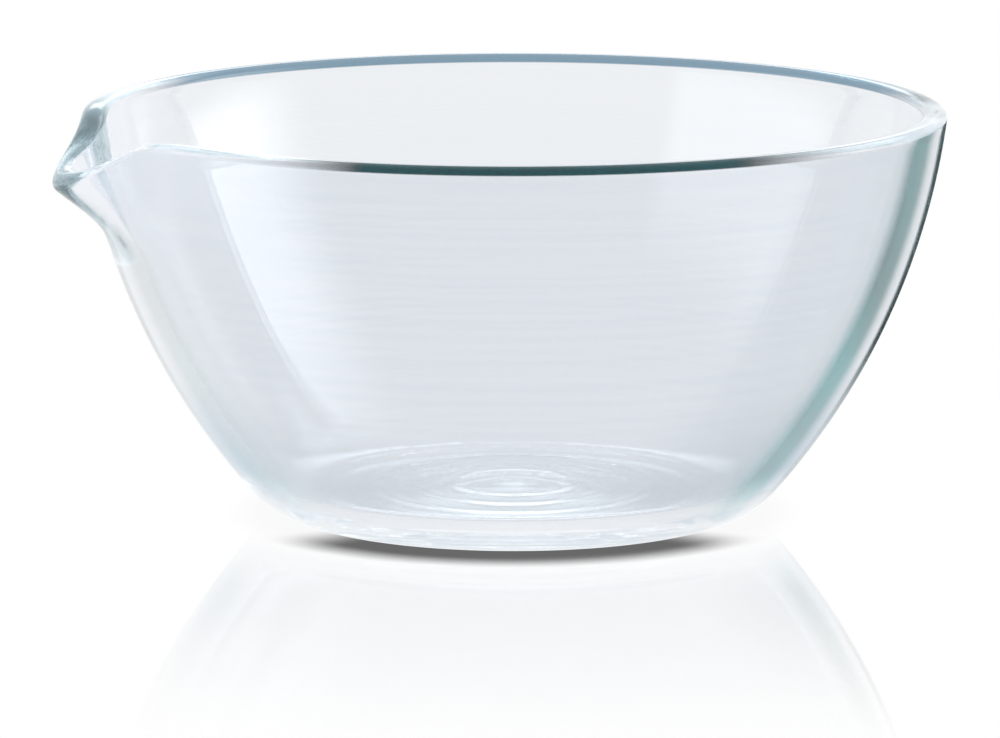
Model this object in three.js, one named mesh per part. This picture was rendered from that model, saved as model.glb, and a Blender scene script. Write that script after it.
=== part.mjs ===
// Spouted glass mixing bowl: one pressed piece of clear glass, thickest at the heel, with a crowned rim,
// a pouring lip drawn out of the rim, and a shallow recess under the floor that leaves a standing ring.
// Units are millimetres, +Z is up, the lip points along -X and the ring stands on z = 0.
import * as THREE from "three";

// The round body
const RIM_RADIUS = 100; // outside, where the wall ends below the crowned rim
const BASE_RADIUS = 47; // where the flat base turns into the heel
const HEIGHT = 95; // from the standing ring to the top of the rim
const WALL = 6; // glass thickness of the wall
const FLOOR = 7; // glass thickness above the standing ring
const WALL_CURVE = 164; // radius of the outside wall's arc in section
const HEEL_OUTSIDE = 19; // radius of the rounding between wall and base
const HEEL_INSIDE = 16; // radius of the rounding between wall and floor
const RIM_CROWN = 2; // how far the rim's rounded top rises over the wall
const FLOOR_DOME = 0.8; // how much thicker the floor is at its middle

// The recess under the floor
const RING_WIDTH = 8; // flat of the standing ring
const RECESS_DEPTH = 0.8;
const RECESS_EDGE = 4; // width of the slope from the ring into the recess

// The pouring lip
const LIP_REACH = 9.4; // how far the rim is drawn outward
const LIP_HALF_WIDTH = 34; // along the rim, from the middle of the lip to where it leaves the round
const LIP_POINT = 1.6; // how pointed the lip is from above: 1 is a round bulge
const LIP_DROP = 11; // how far the rim is drawn down
const DIP_HALF_WIDTH = 52; // along the rim, from the middle of the lip to where the rim is level
const DIP_POINT = 2.4; // how pointed the dip is from the front
const LIP_DEPTH = 31; // how far below the rim the wall starts to bend outward
const LIP_EASE = 0.6; // how soon the bend runs straight: 0 bends all the way up
const LIP_TILT = THREE.MathUtils.degToRad(42); // how far the drawn edge leans outward

// How finely the curves are divided
const RINGS = 80; // divisions around the bowl, a multiple of four
const LIP_FOCUS = 0.55; // crowds the divisions towards the lip, from 0 (even) to 1
const WALL_STEPS = 10;
const HEEL_STEPS = 5;
const RIM_STEPS = 6;
const FLOOR_STEPS = 3;

const rimZ = HEIGHT - RIM_CROWN;

// The centre of the wall's arc, which runs through the rim and touches the heel's arc.
function wallArcCentre() {
  const heel = new THREE.Vector2(BASE_RADIUS, HEEL_OUTSIDE);
  const chord = new THREE.Vector2(RIM_RADIUS, rimZ).sub(heel);
  const reach = WALL_CURVE - HEEL_OUTSIDE;
  const along = (reach ** 2 - WALL_CURVE ** 2 + chord.lengthSq()) / (2 * chord.length());
  const across = Math.sqrt(reach ** 2 - along ** 2);
  const forward = chord.clone().normalize();
  const inward = new THREE.Vector2(-forward.y, forward.x);
  return heel.addScaledVector(forward, along).addScaledVector(inward, across);
}

const wallCentre = wallArcCentre();

// Points along an arc, with both ends.
function arc(centre, radius, from, to, steps) {
  const points = [];
  for (let i = 0; i <= steps; i++) {
    const angle = from + ((to - from) * i) / steps;
    points.push(new THREE.Vector2(radius * Math.cos(angle), radius * Math.sin(angle)).add(centre));
  }
  return points;
}

// One side of the glass from its flat bottom up to the rim: a heel arc, then the wall arc it touches.
function bowlSide(wallRadius, heelRadius, bottomZ) {
  const heelZ = bottomZ + heelRadius;
  const heelX = wallCentre.x + Math.sqrt((wallRadius - heelRadius) ** 2 - (wallCentre.y - heelZ) ** 2);
  const meet = Math.atan2(heelZ - wallCentre.y, heelX - wallCentre.x);
  const top = Math.asin((rimZ - wallCentre.y) / wallRadius);
  const heel = arc(new THREE.Vector2(heelX, heelZ), heelRadius, -Math.PI / 2, meet, HEEL_STEPS);
  const wall = arc(wallCentre, wallRadius, meet, top, WALL_STEPS);
  return [...heel, ...wall.slice(1)];
}

// The crowned top of the rim, without its ends: half an ellipse from the outside wall to the inside wall.
function rimCrown(outside, inside) {
  const middle = (outside.x + inside.x) / 2;
  const half = (outside.x - inside.x) / 2;
  const crown = arc(new THREE.Vector2(), 1, 0, Math.PI, RIM_STEPS).slice(1, -1);
  return crown.map((unit) => new THREE.Vector2(middle + half * unit.x, rimZ + RIM_CROWN * unit.y));
}

// The floor's slight dome, from its edge to the axis, without its edge.
function floorDome(edge) {
  const points = [];
  for (let i = 1; i <= FLOOR_STEPS; i++) {
    const share = 1 - i / FLOOR_STEPS;
    points.push(new THREE.Vector2(edge.x * share, edge.y + FLOOR_DOME * (1 - share ** 2)));
  }
  return points;
}

// The closed section, from the middle of the recess round the outside, over the rim and down the inside.
function bowlSection() {
  const outside = bowlSide(WALL_CURVE, HEEL_OUTSIDE, 0);
  const inside = bowlSide(WALL_CURVE - WALL, HEEL_INSIDE, FLOOR);
  const recess = BASE_RADIUS - RING_WIDTH;
  return [
    new THREE.Vector2(0, RECESS_DEPTH),
    new THREE.Vector2(recess - RECESS_EDGE, RECESS_DEPTH),
    new THREE.Vector2(recess, 0),
    ...outside,
    ...rimCrown(outside.at(-1), inside.at(-1)),
    ...inside.toReversed(),
    ...floorDome(inside[0]),
  ];
}

// A smooth bump along the rim: 1 in the middle of the lip, 0 beyond halfWidth, more pointed as point grows.
function bump(along, halfWidth, point) {
  const spread = Math.min(Math.abs(along) / halfWidth, 1);
  return (0.5 + 0.5 * Math.cos(Math.PI * spread)) ** point;
}

// How much of the lip's pull the wall takes at a height: none where the bend starts, all at the rim.
function pullAt(z) {
  const climb = THREE.MathUtils.clamp((z - rimZ + LIP_DEPTH) / LIP_DEPTH, 0, 1);
  return climb ** 2 * (1 + LIP_EASE * (1 - climb));
}

// Draws a point of the section out into the lip, along being its distance from the lip's middle on the rim.
// The glass keeps its thickness: each point turns about the middle of the wall as the wall leans outward.
function drawLip(radius, z, along) {
  const wallZ = Math.min(z, rimZ);
  const pull = pullAt(wallZ);
  if (pull === 0) return new THREE.Vector2(radius, z);
  const outward = pull * bump(along, LIP_HALF_WIDTH, LIP_POINT);
  const downward = pull * bump(along, DIP_HALF_WIDTH, DIP_POINT);
  const middle = wallCentre.x + Math.sqrt((WALL_CURVE - WALL / 2) ** 2 - (wallCentre.y - wallZ) ** 2);
  const offset = new THREE.Vector2(radius - middle, z - wallZ);
  offset.rotateAround(new THREE.Vector2(), -LIP_TILT * outward);
  return new THREE.Vector2(middle + LIP_REACH * outward + offset.x, wallZ - LIP_DROP * downward + offset.y);
}

// The section turned about the axis, its divisions crowded towards the lip, and the lip drawn out of it.
function bowlGeometry() {
  const geometry = new THREE.LatheGeometry(bowlSection(), RINGS).rotateX(Math.PI / 2);
  const position = geometry.getAttribute("position");
  for (let i = 0; i < position.count; i++) {
    const x = position.getX(i);
    const y = position.getY(i);
    const even = Math.atan2(y, -x);
    const angle = even - LIP_FOCUS * Math.sin(even);
    const drawn = drawLip(Math.hypot(x, y), position.getZ(i), angle * RIM_RADIUS);
    position.setXYZ(i, -drawn.x * Math.cos(angle), drawn.x * Math.sin(angle), drawn.y);
  }
  geometry.computeVertexNormals();
  geometry.computeBoundingBox();
  return geometry;
}

const clearGlass = new THREE.MeshStandardMaterial({
  color: 0xdfe9ee,
  roughness: 0.05,
  metalness: 0,
  transparent: true,
  opacity: 0.35,
});

// The middle of the bowl's overall length, lip included, lies over the origin.
const bowl = new THREE.Mesh(bowlGeometry(), clearGlass);
bowl.name = "glass_bowl";
const { min, max } = bowl.geometry.boundingBox;
bowl.position.x = -(min.x + max.x) / 2;

const mixingBowl = new THREE.Group();
mixingBowl.add(bowl);

export default mixingBowl;
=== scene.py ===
"""Looks of the spouted glass mixing bowl: fine glass mesh, glass material, white studio and camera.

Everything is in metres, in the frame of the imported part: +Z up, the pouring lip along -X.
"""
import math

import bpy
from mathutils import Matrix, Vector


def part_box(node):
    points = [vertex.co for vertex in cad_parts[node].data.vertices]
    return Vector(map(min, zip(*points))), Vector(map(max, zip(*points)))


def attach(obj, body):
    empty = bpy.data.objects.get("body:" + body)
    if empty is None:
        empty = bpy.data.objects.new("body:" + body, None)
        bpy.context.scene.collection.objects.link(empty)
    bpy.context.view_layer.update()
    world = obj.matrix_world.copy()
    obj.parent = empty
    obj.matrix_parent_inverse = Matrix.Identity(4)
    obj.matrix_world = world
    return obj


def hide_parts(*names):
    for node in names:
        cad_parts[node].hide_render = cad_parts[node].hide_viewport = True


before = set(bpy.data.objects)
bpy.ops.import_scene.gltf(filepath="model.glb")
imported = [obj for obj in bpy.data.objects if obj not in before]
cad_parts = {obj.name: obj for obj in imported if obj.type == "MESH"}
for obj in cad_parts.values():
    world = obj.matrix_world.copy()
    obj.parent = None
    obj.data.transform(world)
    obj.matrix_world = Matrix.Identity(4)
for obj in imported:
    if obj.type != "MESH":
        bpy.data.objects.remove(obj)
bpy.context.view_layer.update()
bowl_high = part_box("glass_bowl")[1]

# The round body: rim radius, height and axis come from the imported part, the rest is as in the part's source
RIM_RADIUS = bowl_high.y
HEIGHT = bowl_high.z
AXIS_X = bowl_high.x - RIM_RADIUS
BASE_RADIUS = 0.047  # where the flat base turns into the heel
WALL = 0.006  # glass thickness of the wall
FLOOR = 0.007  # glass thickness above the standing ring
WALL_CURVE = 0.164  # radius of the outside wall's arc in section
HEEL_OUTSIDE = 0.019  # radius of the rounding between wall and base
HEEL_INSIDE = 0.016  # radius of the rounding between wall and floor
RIM_CROWN = 0.002  # how far the rim's rounded top rises over the wall
FLOOR_DOME = 0.0008  # how much thicker the floor is at its middle

# The recess under the floor
RING_WIDTH = 0.008  # flat of the standing ring
RECESS_DEPTH = 0.0008
RECESS_EDGE = 0.036  # slope into the recess, broader than in the part so that it draws no dark arc

# The pouring lip
LIP_REACH = 0.0094  # how far the rim is drawn outward
LIP_HALF_WIDTH = 0.034  # along the rim, from the middle of the lip to where it leaves the round
LIP_POINT = 1.6  # how pointed the lip is from above: 1 is a round bulge
LIP_DROP = 0.011  # how far the rim is drawn down
DIP_HALF_WIDTH = 0.052  # along the rim, from the middle of the lip to where the rim is level
DIP_POINT = 2.4  # how pointed the dip is from the front
LIP_DEPTH = 0.031  # how far below the rim the wall starts to bend outward
LIP_EASE = 0.6  # how soon the bend runs straight: 0 bends all the way up
LIP_TILT = math.radians(42)  # how far the drawn edge leans outward

# The rings that the press leaves in the floor, the last one a flat lens: radius, half width and rise
PRESS_RINGS = [
    (0.0430, 0.0035, 0.00008),
    (0.0320, 0.0030, 0.00009),
    (0.0230, 0.0030, 0.00009),
    (0.0140, 0.0030, 0.00017),
    (0.0, 0.0080, 0.00024),
]

# How finely the glass is divided
RINGS = 384  # divisions around the bowl
LIP_FOCUS = 0.4  # crowds the divisions towards the lip, from 0 (even) to 1
WALL_STEPS = 44
HEEL_STEPS = 24
RIM_STEPS = 24
FLOOR_STEPS = 60
RECESS_STEPS = 32

# The glass: how it bends light, its tint in depth, and the tones of its skin and of its faint level cords
GLASS_IOR = 1.5
BODY_TINT = (0.40, 0.70, 0.74)
BODY_DENSITY = 0.4
SKIN_TONE = (0.85, 0.872, 0.90)
CORD_TONE = (0.83, 0.855, 0.888)
CORD_SCALE = (6.0, 6.0, 900.0)  # of the noise, dense upward so that the cords lie level
CORD_DETAIL = 3.0
CORD_RANGE = (0.4, 0.7)  # of the noise, from plain skin to full cord
CORD_HEIGHT = 0.000003

# Painted shade on wall and heel by how far the surface turns away from the viewer, from 0 to edge-on at 1
TURN_BLEND = 0.5  # at which it is 1 less the cosine of the angle
WALL_EDGE_SHADE = [
    (0.28, (1.0, 1.0, 1.0)),
    (0.38, (0.86, 0.88, 0.89)),
    (0.56, (0.70, 0.76, 0.78)),
    (0.61, (0.45, 0.56, 0.58)),
    (0.66, (0.006, 0.105, 0.105)),
    (0.74, (0.006, 0.105, 0.108)),
    (0.80, (0.50, 0.58, 0.63)),
    (0.83, (0.56, 0.62, 0.70)),
]
HEEL_EDGE_SHADE = [
    (0.30, (1.0, 1.0, 1.0)),
    (0.50, (0.74, 0.76, 0.77)),
    (0.62, (0.62, 0.70, 0.74)),
    (0.76, (0.32, 0.48, 0.60)),
]
# The wall's edge, which lets light straight through: its share of the surface and its tone, a painted dark
# outline and blue-green band
EDGE_IOR = 1.0
EDGE_SHADE_SHARES = [(0.60, 0.0), (0.66, 0.43), (0.73, 0.40), (0.79, 0.06), (0.84, 0.06), (0.885, 1.0)]
EDGE_SHADE_TONES = [(0.76, (0.02, 0.55, 0.52)), (0.83, (0.05, 0.09, 0.09))]

# Painted shade on the rim and base, and a painted lighter tone on the lip
RIM_PAINTED_SHADE = {"rim_outside": (0.0, 0.0045, 0.0055), "rim_inside": (0.05, 0.12, 0.19)}
BASE_PAINTED_SHADE = (0.76, 0.80, 0.83)
LIP_PAINTED_LIGHT = (0.88, 0.905, 0.955)

# Where the painted shade and the lip's painted lighter tone hold: shares that each point of the mesh carries
SHARES = ("wall", "heel", "rim_outside", "rim_inside", "base", "lip")
EDGE_START = 0.004  # height at which the painted shade of wall and heel comes in
EDGE_FADE = 0.012
LIP_SIDE_EDGE = 0.2  # how strong the wall's painted shade is on the lip's side
HEEL_TOP = 0.016  # height at which the heel's painted shade starts to fade
HEEL_FADE = 0.030
HEEL_CALM = 0.75  # how much of the wall's painted edge shade is missing at the heel
BASE_FADE = 0.012  # from the base radius inward, where the base's painted shade comes in
LIP_TONE_END = 0.045  # along the rim from the lip's middle, where the lip's painted lighter tone starts to fade
LIP_TONE_FADE = 0.048
RIM_START = 0.048  # along the rim from the lip's middle, where the rim's painted shade comes in
RIM_FADE = 0.045
FAR_START = 0.18  # along the rim by the front, where the rim's painted shade fades
FAR_END = 0.28  # where they come back
FAR_FADE = 0.05
FAR_CLEAR = {"rim_outside": 1.0, "rim_inside": 0.8}  # how much of them is missing between

# The photograph's camera
PHOTO_WIDTH = 1000
PHOTO_HEIGHT = 738
CAMERA_DISTANCE = 1.7
CAMERA_AZIMUTH = math.radians(-17)
CAMERA_ELEVATION = 0.162  # radians
CAMERA_REACH = 50.0
PIXELS_PER_METRE = 4310
AXIS_PIXEL = (513.5, 309.3)  # where the photograph shows the bowl's axis at half its height
SENSOR_WIDTH = 36.0  # millimetres

# The white floor
WHITE = (1.0, 1.0, 1.0)
FLOOR_HALF = 6.0
FLOOR_GAP = 0.0001  # below the standing ring
FLOOR_COLOUR = (0.9, 0.9, 0.9)
FLOOR_LEVEL = 1.0  # how white it shows
FLOOR_ROUGHNESS = 0.03

# The painted shadow beside the foot, which falls to the front as if from a light behind the bowl
SHADOW_LEVEL = 0.14  # what it leaves of the white
SHADOW_REACH = 0.011
SHADOW_SAMPLES = 16
SHADOW_RANGE = (0.25, 0.8)  # how open the floor lies: from full shadow to none
SHADOW_SIDES = (0.45, 0.75)  # cosine from the front: where the shadow comes in and where it is full
SIDE_SHADOW = 0.06  # what is left of it elsewhere

# The bowl's faint mirror image in the floor, by distance from the bowl's axis
FLOOR_MIRROR = 0.36
MIRROR_START = (0.058, 0.078)
MIRROR_FADE = (0.10, 0.28)

# The room around: white up to a foot, pale blue-grey above it, heights as the sine of the angle
ROOM_FOOT = (0.22, 0.40)
ROOM_COLOUR = (0.82, 0.86, 0.90)
WINDOW_FOOT = 0.12  # softness of a window's low edge
WINDOW_TINT = (0.98, 1.0, 1.02)
# Each window: left edge and its softness, right edge and its softness, in degrees from the camera towards
# its right, then its low edge, high edge and the softness of the high edge, and last how bright it is.
# The last two are the halves of one window straight behind the bowl.
WINDOWS = [
    ((60, 30, 113, 5, 0.05, 0.90, 0.45), 3.3),
    ((-113, 16, -44, 8, 0.03, 0.65, 0.30), 1.9),
    ((120, 8, 165, 8, 0.40, 0.70, 0.12), 2.2),
    ((164, 12, 181, 1, 0.21, 0.48, 0.10), 3.0),
    ((-181, 1, -164, 12, 0.21, 0.48, 0.10), 3.0),
]

GLASS_BOUNCES = 256  # light runs far inside the wall before it leaves the glass

RIM_Z = HEIGHT - RIM_CROWN
BOWL_FOOT = (AXIS_X, 0.0, 0.0)
FRONT = Vector((math.sin(CAMERA_AZIMUTH), -math.cos(CAMERA_AZIMUTH), 0.0))


def wall_arc_centre():
    """Centre of the wall's arc, which runs through the rim and touches the heel's arc."""
    heel = Vector((BASE_RADIUS, HEEL_OUTSIDE))
    chord = Vector((RIM_RADIUS, RIM_Z)) - heel
    reach = WALL_CURVE - HEEL_OUTSIDE
    along = (reach**2 - WALL_CURVE**2 + chord.length_squared) / (2 * chord.length)
    across = math.sqrt(reach**2 - along**2)
    forward = chord.normalized()
    inward = Vector((-forward.y, forward.x))
    return heel + along * forward + across * inward


WALL_CENTRE = wall_arc_centre()


def arc(centre, radius, start, end, steps):
    """Points along an arc, with both ends."""
    angles = [start + (end - start) * i / steps for i in range(steps + 1)]
    return [(centre[0] + radius * math.cos(a), centre[1] + radius * math.sin(a)) for a in angles]


def bowl_side(wall_radius, heel_radius, bottom_z):
    """One side of the glass from its flat bottom up to the rim: a heel arc, then the wall arc it touches."""
    heel_z = bottom_z + heel_radius
    across = math.sqrt((wall_radius - heel_radius) ** 2 - (WALL_CENTRE.y - heel_z) ** 2)
    heel_x = WALL_CENTRE.x + across
    meet = math.atan2(heel_z - WALL_CENTRE.y, across)
    top = math.asin((RIM_Z - WALL_CENTRE.y) / wall_radius)
    heel = arc((heel_x, heel_z), heel_radius, -math.pi / 2, meet, HEEL_STEPS)
    wall = arc(WALL_CENTRE, wall_radius, meet, top, WALL_STEPS)
    return heel + wall[1:]


def smooth(share):
    """0 to 1 with a level start and end."""
    share = min(max(share, 0.0), 1.0)
    return share * share * (3 - 2 * share)


def recess(edge):
    """Underside from just off the axis to the standing ring, its slope rounded at both ends."""
    radii = [edge * i / RECESS_STEPS for i in range(1, RECESS_STEPS + 1)]
    return [(radius, RECESS_DEPTH * smooth((edge - radius) / RECESS_EDGE)) for radius in radii]


def rim_crown(outside, inside):
    """Half an ellipse over the rim, without its ends."""
    middle = (outside[0] + inside[0]) / 2
    half = (outside[0] - inside[0]) / 2
    crown = arc((0, 0), 1, 0, math.pi, RIM_STEPS)[1:-1]
    return [(middle + half * x, RIM_Z + RIM_CROWN * y) for x, y in crown]


def ring_rise(radius):
    """How far the press rings raise the floor."""
    return sum(rise * smooth(1 - abs(radius - middle) / half) for middle, half, rise in PRESS_RINGS)


def floor_dome(edge):
    """The floor's slight dome from its edge to just off the axis."""
    shares = [1 - i / FLOOR_STEPS for i in range(1, FLOOR_STEPS)]
    return [(edge[0] * s, edge[1] + FLOOR_DOME * (1 - s * s)) for s in shares]


def bowl_section():
    """The glass in section with the name of each zone: up the outside, over the rim and down to the floor."""
    outside = bowl_side(WALL_CURVE, HEEL_OUTSIDE, 0.0)
    inside = bowl_side(WALL_CURVE - WALL, HEEL_INSIDE, FLOOR)
    crown = rim_crown(outside[-1], inside[-1])
    zones = {
        "recess": recess(BASE_RADIUS - RING_WIDTH),
        "outside": outside,
        "rim_outside": crown[: len(crown) // 2],
        "rim_inside": crown[len(crown) // 2 :],
        "inside": inside[::-1],
        "floor": floor_dome(inside[0]),
    }
    return [(radius, z, name) for name, points in zones.items() for radius, z in points]


def bump_along(along, half_width, point):
    """1 in the middle of the lip, 0 beyond half_width, more pointed as point grows."""
    spread = min(abs(along) / half_width, 1.0)
    return (0.5 + 0.5 * math.cos(math.pi * spread)) ** point


def pull_at(z):
    """How much of the lip's pull the wall takes at a height: none where the bend starts, all at the rim."""
    climb = min(max((z - RIM_Z + LIP_DEPTH) / LIP_DEPTH, 0.0), 1.0)
    return climb**2 * (1 + LIP_EASE * (1 - climb))


def draw_lip(radius, z, along):
    """Draws a point of the section out into the lip, along being its distance from the lip's middle."""
    wall_z = min(z, RIM_Z)
    pull = pull_at(wall_z)
    if pull == 0:
        return radius, z
    outward = pull * bump_along(along, LIP_HALF_WIDTH, LIP_POINT)
    downward = pull * bump_along(along, DIP_HALF_WIDTH, DIP_POINT)
    middle = WALL_CENTRE.x + math.sqrt((WALL_CURVE - WALL / 2) ** 2 - (WALL_CENTRE.y - wall_z) ** 2)
    across, above = radius - middle, z - wall_z
    cos, sin = math.cos(LIP_TILT * outward), math.sin(LIP_TILT * outward)
    new_radius = middle + LIP_REACH * outward + across * cos + above * sin
    return new_radius, wall_z - LIP_DROP * downward - across * sin + above * cos


def zone_shares(zone, radius, z, angle, along):
    """How much of each painted tone a point takes (painted shade of wall, heel, rim and base, painted lighter
    lip), angle and along being measured round from the lip's middle.
    """
    shares = dict.fromkeys(SHARES, 0.0)
    in_lip = pull_at(min(z, RIM_Z)) * (1 - smooth((abs(along) - LIP_TONE_END) / LIP_TONE_FADE))
    shares["lip"] = in_lip
    if zone == "outside":
        up_wall = smooth((z - EDGE_START) / EDGE_FADE)
        far_side = (1 - math.cos(angle)) / 2
        shares["wall"] = up_wall * (1 - in_lip) * (LIP_SIDE_EDGE + (1 - LIP_SIDE_EDGE) * far_side)
        shares["heel"] = up_wall * (1 - smooth((z - HEEL_TOP) / HEEL_FADE))
    if zone in RIM_PAINTED_SHADE:
        by_front = -along % (2 * math.pi * RIM_RADIUS)
        far = smooth((by_front - FAR_START) / FAR_FADE) * (1 - smooth((by_front - FAR_END) / FAR_FADE))
        shares[zone] = smooth((abs(along) - RIM_START) / RIM_FADE) * (1 - FAR_CLEAR[zone] * far)
    if zone in ("floor", "recess"):
        shares["base"] = smooth((BASE_RADIUS - radius) / BASE_FADE)
    return shares


def bowl_points(section):
    """The mesh's points and their shares: one on the axis, the sections all round, one on the axis."""
    middle_shares = zone_shares("floor", 0.0, FLOOR, 0.0, 0.0)
    points = [(AXIS_X, 0.0, RECESS_DEPTH)]
    shares = [middle_shares]
    for ring in range(RINGS):
        even = 2 * math.pi * ring / RINGS
        angle = even - LIP_FOCUS * math.sin(even)
        along = math.remainder(angle, 2 * math.pi) * RIM_RADIUS
        for radius, z, zone in section:
            r, h = draw_lip(radius, z, along)
            if zone == "floor":
                h += ring_rise(radius)
            points.append((AXIS_X - r * math.cos(angle), r * math.sin(angle), h))
            shares.append(zone_shares(zone, radius, z, angle, along))
    points.append((AXIS_X, 0.0, FLOOR + FLOOR_DOME + ring_rise(0.0)))
    shares.append(middle_shares)
    return points, shares


def bowl_faces(count):
    """Quads between neighbouring sections of count points, with a fan at each end on the axis."""
    top = 1 + RINGS * count
    faces = []
    for ring in range(RINGS):
        here = 1 + ring * count
        after = 1 + (ring + 1) % RINGS * count
        faces.append((0, here, after))
        for i in range(count - 1):
            faces.append((here + i, here + i + 1, after + i + 1, after + i))
        faces.append((here + count - 1, top, after + count - 1))
    return faces


def make_bowl():
    """The glass as one closed smooth mesh."""
    section = bowl_section()
    points, shares = bowl_points(section)
    mesh = bpy.data.meshes.new("bowl_glass")
    mesh.from_pydata(points, [], bowl_faces(len(section)))
    mesh.polygons.foreach_set("use_smooth", [True] * len(mesh.polygons))
    for name in SHARES:
        values = [point_shares[name] for point_shares in shares]
        mesh.attributes.new(name, "FLOAT", "POINT").data.foreach_set("value", values)
    piece = bpy.data.objects.new("bowl_glass", mesh)
    bpy.context.scene.collection.objects.link(piece)
    return piece


def node(tree, kind, **values):
    """A shader node with its properties and its input sockets set by name."""
    made = tree.nodes.new(kind)
    for name, value in values.items():
        if hasattr(made, name):
            setattr(made, name, value)
        else:
            made.inputs[name.replace("_", " ")].default_value = value
    return made


def new_material(name):
    """An empty node material and its output node."""
    material = bpy.data.materials.new(name)
    material.use_nodes = True
    material.node_tree.nodes.clear()
    return material, material.node_tree.nodes.new("ShaderNodeOutputMaterial")


def mixed(tree, factor, first, second, blend="MIX"):
    """A colour from two others, each a plain colour or a socket."""
    made = node(tree, "ShaderNodeMix", data_type="RGBA", blend_type=blend)
    tree.links.new(factor, made.inputs["Factor"])
    colour_inputs = [socket for socket in made.inputs if socket.type == "RGBA"]
    for socket, colour in zip(colour_inputs, (first, second)):
        if isinstance(colour, tuple):
            socket.default_value = (*colour, 1)
        else:
            tree.links.new(colour, socket)
    return next(socket for socket in made.outputs if socket.type == "RGBA")


def mixed_shader(tree, factor, first, second):
    """A shader between two others."""
    made = node(tree, "ShaderNodeMixShader")
    for socket, value in zip(made.inputs, (factor, first, second)):
        tree.links.new(value, socket)
    return made.outputs["Shader"]


def math_node(tree, operation, first, second=0.0):
    """The result of a mathematical operation on sockets or numbers."""
    made = node(tree, "ShaderNodeMath", operation=operation)
    for socket, value in zip(made.inputs, (first, second)):
        if isinstance(value, (int, float)):
            socket.default_value = value
        else:
            tree.links.new(value, socket)
    return made.outputs["Value"]


def product(tree, *factors):
    """The product of two or more sockets or numbers."""
    result = factors[0]
    for factor in factors[1:]:
        result = math_node(tree, "MULTIPLY", result, factor)
    return result


def rest_of(tree, share):
    """1 minus a socket."""
    return math_node(tree, "SUBTRACT", 1.0, share)


def vector_node(tree, operation, first, second=(0.0, 0.0, 0.0)):
    """A node with the result of an operation on a vector socket and a plain vector."""
    made = node(tree, "ShaderNodeVectorMath", operation=operation)
    tree.links.new(first, made.inputs[0])
    made.inputs[1].default_value = second
    return made


def mapped(tree, value, source, target=(0.0, 1.0), easing="LINEAR"):
    """A socket's value carried from one range to another and held at its ends."""
    made = node(tree, "ShaderNodeMapRange", interpolation_type=easing, From_Min=source[0], From_Max=source[1])
    made.inputs["To Min"].default_value = target[0]
    made.inputs["To Max"].default_value = target[1]
    tree.links.new(value, made.inputs["Value"])
    return made.outputs["Result"]


def step_up(tree, value, start, end):
    """0 at start, 1 at end and smooth between, of a socket; start may lie above end."""
    return mapped(tree, value, (start, end), easing="SMOOTHSTEP")


def ramp(tree, value, stops):
    """Colours that follow a socket's value, from stops of position and colour."""
    made = node(tree, "ShaderNodeValToRGB")
    tree.links.new(value, made.inputs["Fac"])
    elements = made.color_ramp.elements
    elements.remove(elements[1])
    for number, (position, colour) in enumerate(stops):
        stop = elements[0] if number == 0 else elements.new(position)
        stop.position = position
        stop.color = (*colour, 1)
    return made.outputs["Color"]


def share_of(tree, name):
    """One of the shares that the mesh's points carry."""
    return node(tree, "ShaderNodeAttribute", attribute_name=name).outputs["Fac"]


def clear_shader(tree, ior):
    """A smooth see-through shader."""
    made = node(tree, "ShaderNodeBsdfPrincipled", Roughness=0.0, IOR=ior)
    made.inputs["Transmission Weight"].default_value = 1.0
    return made


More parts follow.
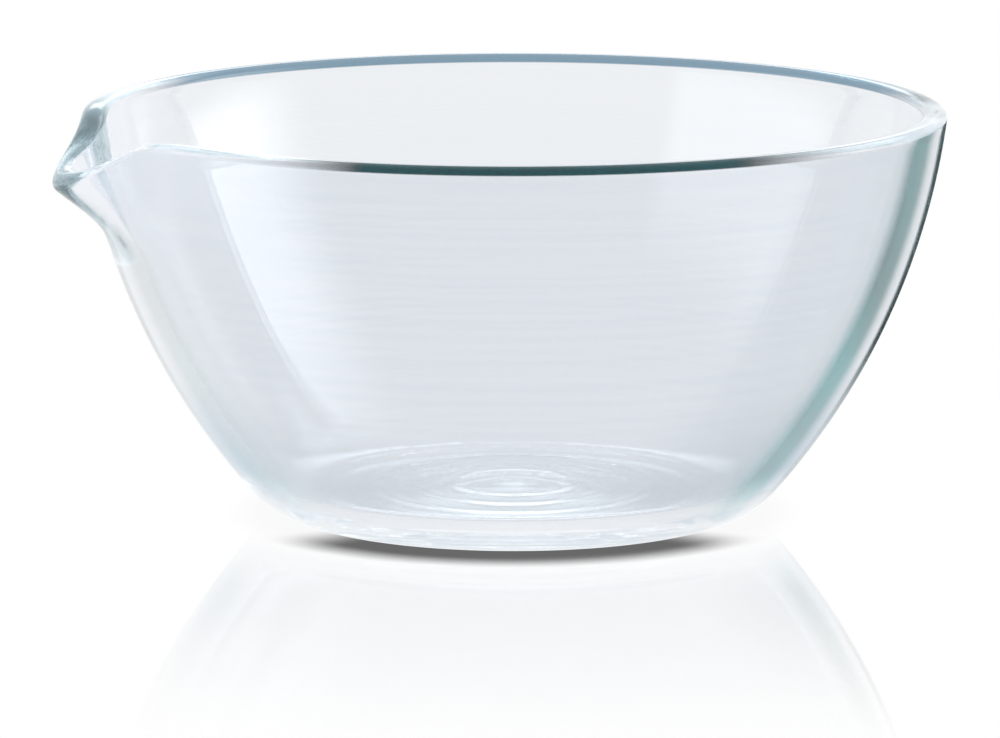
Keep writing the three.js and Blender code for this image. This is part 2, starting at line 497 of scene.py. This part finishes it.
def glass_material():
    """Clear pressed glass: blue-green in depth and faintly corded, with painted shade at its edges, heel, rim
    and base and a painted lighter tone on the lip.
    """
    material, output = new_material("clear_glass")
    tree = material.node_tree
    link = tree.links.new
    turned = node(tree, "ShaderNodeLayerWeight", Blend=TURN_BLEND).outputs["Facing"]
    # Only light that enters from outside takes the painted shade of wall, heel and rim, or lip and heel turn
    # dark.
    from_outside = rest_of(tree, tree.nodes.new("ShaderNodeNewGeometry").outputs["Backfacing"])
    wall = product(tree, share_of(tree, "wall"), from_outside)
    heel = product(tree, share_of(tree, "heel"), from_outside)

    place = tree.nodes.new("ShaderNodeTexCoord").outputs["Object"]
    stretch = node(tree, "ShaderNodeMapping", Scale=CORD_SCALE)
    cords = node(tree, "ShaderNodeTexNoise", Scale=1.0, Detail=CORD_DETAIL)
    ripple = node(tree, "ShaderNodeBump", Strength=1.0, Distance=CORD_HEIGHT)
    link(place, stretch.inputs["Vector"])
    link(stretch.outputs["Vector"], cords.inputs["Vector"])
    link(cords.outputs["Fac"], ripple.inputs["Height"])

    tone = mixed(tree, step_up(tree, cords.outputs["Fac"], *CORD_RANGE), SKIN_TONE, CORD_TONE)
    # Painted shade: the wall and heel darken towards blue-green as they turn edge-on.
    tone = mixed(tree, wall, tone, ramp(tree, turned, WALL_EDGE_SHADE), "MULTIPLY")
    tone = mixed(tree, heel, tone, ramp(tree, turned, HEEL_EDGE_SHADE), "MULTIPLY")
    # Painted shade: the rim's crown is darkened, near black outside and blue-grey inside.
    for zone, rim_shade in RIM_PAINTED_SHADE.items():
        tone = mixed(tree, product(tree, share_of(tree, zone), from_outside), tone, rim_shade)
    # Painted shade: the base is darkened.
    tone = mixed(tree, share_of(tree, "base"), tone, BASE_PAINTED_SHADE)
    # Painted light: the lip takes a lighter, bluer tone.
    tone = mixed(tree, share_of(tree, "lip"), tone, LIP_PAINTED_LIGHT)
    glass = clear_shader(tree, GLASS_IOR)
    link(tone, glass.inputs["Base Color"])
    link(ripple.outputs["Normal"], glass.inputs["Normal"])

    # Painted shade: a dark outline and a blue-green band along the wall's edges.
    edge = clear_shader(tree, EDGE_IOR)
    link(ramp(tree, turned, EDGE_SHADE_TONES), edge.inputs["Base Color"])
    edge_greys = [(position, (share,) * 3) for position, share in EDGE_SHADE_SHARES]
    calm = rest_of(tree, product(tree, heel, HEEL_CALM))
    painted_edge_share = product(tree, ramp(tree, turned, edge_greys), wall, calm)

    tint = node(tree, "ShaderNodeVolumeAbsorption", Color=(*BODY_TINT, 1), Density=BODY_DENSITY)
    surface = mixed_shader(tree, painted_edge_share, glass.outputs["BSDF"], edge.outputs["BSDF"])
    link(surface, output.inputs["Surface"])
    link(tint.outputs["Volume"], output.inputs["Volume"])
    return material


def add_piece():
    """The bowl stands for its CAD node and rides on the part's one body."""
    bowl = make_bowl()
    bowl.data.materials.append(glass_material())
    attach(bowl, "root")
    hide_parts("glass_bowl")


def seen_rays(tree):
    """1 for rays that show the background: camera, glossy and transmission rays."""
    path = tree.nodes.new("ShaderNodeLightPath").outputs
    direct = math_node(tree, "MAXIMUM", path["Is Camera Ray"], path["Is Glossy Ray"])
    return math_node(tree, "MAXIMUM", direct, path["Is Transmission Ray"])


def painted_shadow_level(tree, place, camera_ray):
    """How white the floor shows: a painted shadow beside the bowl's foot, to the camera and mostly at the
    front.
    """
    shade = node(tree, "ShaderNodeAmbientOcclusion", samples=SHADOW_SAMPLES, Distance=SHADOW_REACH)
    aside = vector_node(tree, "SUBTRACT", place, BOWL_FOOT)
    unit = vector_node(tree, "NORMALIZE", aside.outputs["Vector"])
    frontal = vector_node(tree, "DOT_PRODUCT", unit.outputs["Vector"], FRONT).outputs["Value"]
    strength = mapped(tree, step_up(tree, frontal, *SHADOW_SIDES), (0.0, 1.0), (SIDE_SHADOW, 1.0))
    eased = node(tree, "ShaderNodeMix", data_type="FLOAT", A=1.0)
    tree.links.new(product(tree, camera_ray, strength), eased.inputs["Factor"])
    tree.links.new(mapped(tree, shade.outputs["AO"], SHADOW_RANGE), eased.inputs["B"])
    return mapped(tree, eased.outputs["Result"], (0.0, 1.0), (SHADOW_LEVEL, FLOOR_LEVEL))


def mirror_share(tree, place, camera_ray):
    """How strongly the floor mirrors to the camera: from beside the foot, fading with the distance."""
    away = vector_node(tree, "DISTANCE", place, BOWL_FOOT).outputs["Value"]
    beside = step_up(tree, away, *MIRROR_START)
    near = rest_of(tree, step_up(tree, away, *MIRROR_FADE))
    return product(tree, near, beside, camera_ray, FLOOR_MIRROR)


def floor_material():
    """White floor: shows as white, with a painted shadow beside the bowl's foot, and mirrors the bowl
    faintly.
    """
    material, output = new_material("white_floor")
    tree = material.node_tree
    place = tree.nodes.new("ShaderNodeTexCoord").outputs["Object"]
    camera_ray = tree.nodes.new("ShaderNodeLightPath").outputs["Is Camera Ray"]
    white = node(tree, "ShaderNodeEmission")
    tree.links.new(painted_shadow_level(tree, place, camera_ray), white.inputs["Strength"])
    gloss = node(tree, "ShaderNodeBsdfGlossy", Roughness=FLOOR_ROUGHNESS, Color=(*WHITE, 1))
    diffuse = node(tree, "ShaderNodeBsdfDiffuse", Color=(*FLOOR_COLOUR, 1))
    mirror = mixed_shader(
        tree, mirror_share(tree, place, camera_ray), white.outputs["Emission"], gloss.outputs["BSDF"]
    )
    shown = mixed_shader(tree, seen_rays(tree), diffuse.outputs["BSDF"], mirror)
    tree.links.new(shown, output.inputs["Surface"])
    return material


def add_floor():
    """A broad level floor just under the standing ring."""
    sides = ((-1, -1), (1, -1), (1, 1), (-1, 1))
    corners = [(x * FLOOR_HALF, y * FLOOR_HALF, -FLOOR_GAP) for x, y in sides]
    mesh = bpy.data.meshes.new("floor")
    mesh.from_pydata(corners, [], [(0, 1, 2, 3)])
    floor = bpy.data.objects.new("floor", mesh)
    floor.data.materials.append(floor_material())
    bpy.context.scene.collection.objects.link(floor)


def window_share(tree, round_about, up, window):
    """1 in a soft window of the room, 0 outside it."""
    left, left_soft, right, right_soft, low, high, high_soft = window
    return product(
        tree,
        step_up(tree, round_about, left, left + left_soft),
        step_up(tree, round_about, right, right - right_soft),
        step_up(tree, up, low, low + WINDOW_FOOT),
        step_up(tree, up, high, high - high_soft),
    )


def add_world():
    """White to the camera; for what the glass shows, a pale room with a white foot and soft windows."""
    world = bpy.data.worlds.new("studio")
    bpy.context.scene.world = world
    world.use_nodes = True
    tree = world.node_tree
    tree.nodes.clear()
    link = tree.links.new
    output = tree.nodes.new("ShaderNodeOutputWorld")
    place = tree.nodes.new("ShaderNodeTexCoord")
    turn = node(tree, "ShaderNodeVectorRotate", rotation_type="Z_AXIS", Angle=-CAMERA_AZIMUTH)
    parts = tree.nodes.new("ShaderNodeSeparateXYZ")
    link(place.outputs["Generated"], turn.inputs["Vector"])
    link(turn.outputs["Vector"], parts.inputs["Vector"])
    up = parts.outputs["Z"]
    ahead = product(tree, parts.outputs["Y"], -1.0)
    round_about = math_node(tree, "DEGREES", math_node(tree, "ARCTAN2", parts.outputs["X"], ahead))
    room = mixed(tree, step_up(tree, up, *ROOM_FOOT), WHITE, ROOM_COLOUR)
    for window, radiance in WINDOWS:
        light = tuple(radiance * tint for tint in WINDOW_TINT)
        room = mixed(tree, window_share(tree, round_about, up, window), room, light)
    path = tree.nodes.new("ShaderNodeLightPath")
    background = node(tree, "ShaderNodeBackground")
    link(mixed(tree, path.outputs["Is Camera Ray"], room, WHITE), background.inputs["Color"])
    link(background.outputs["Background"], output.inputs["Surface"])


def camera_axes():
    """The photograph's camera: unit vectors towards it, to its right and up."""
    back = math.cos(CAMERA_ELEVATION) * FRONT + Vector((0.0, 0.0, math.sin(CAMERA_ELEVATION)))
    right = Vector((math.cos(CAMERA_AZIMUTH), math.sin(CAMERA_AZIMUTH), 0.0))
    return back, right, back.cross(right)


def add_camera():
    """The photograph's view: the bowl's axis falls on AXIS_PIXEL and sizes on PIXELS_PER_METRE."""
    data = bpy.data.cameras.new("photo_camera")
    data.sensor_width = SENSOR_WIDTH
    data.lens = PIXELS_PER_METRE * CAMERA_DISTANCE * SENSOR_WIDTH / PHOTO_WIDTH
    data.clip_end = CAMERA_REACH
    back, right, up = camera_axes()
    middle = Vector((AXIS_X, 0.0, HEIGHT / 2))
    eye = middle + CAMERA_DISTANCE * back
    right_of_centre = (AXIS_PIXEL[0] - PHOTO_WIDTH / 2) / PIXELS_PER_METRE
    above_centre = (PHOTO_HEIGHT / 2 - AXIS_PIXEL[1]) / PIXELS_PER_METRE
    aim = middle - right_of_centre * right - above_centre * up
    camera = bpy.data.objects.new("photo_camera", data)
    camera.location = eye
    camera.rotation_euler = (aim - eye).to_track_quat("-Z", "Y").to_euler()
    bpy.context.scene.collection.objects.link(camera)
    bpy.context.scene.camera = camera


add_piece()
add_floor()
add_world()
add_camera()
bpy.context.scene.view_settings.view_transform = "Standard"
for kind in ("max_bounces", "glossy_bounces", "transmission_bounces"):
    setattr(bpy.context.scene.cycles, kind, GLASS_BOUNCES)
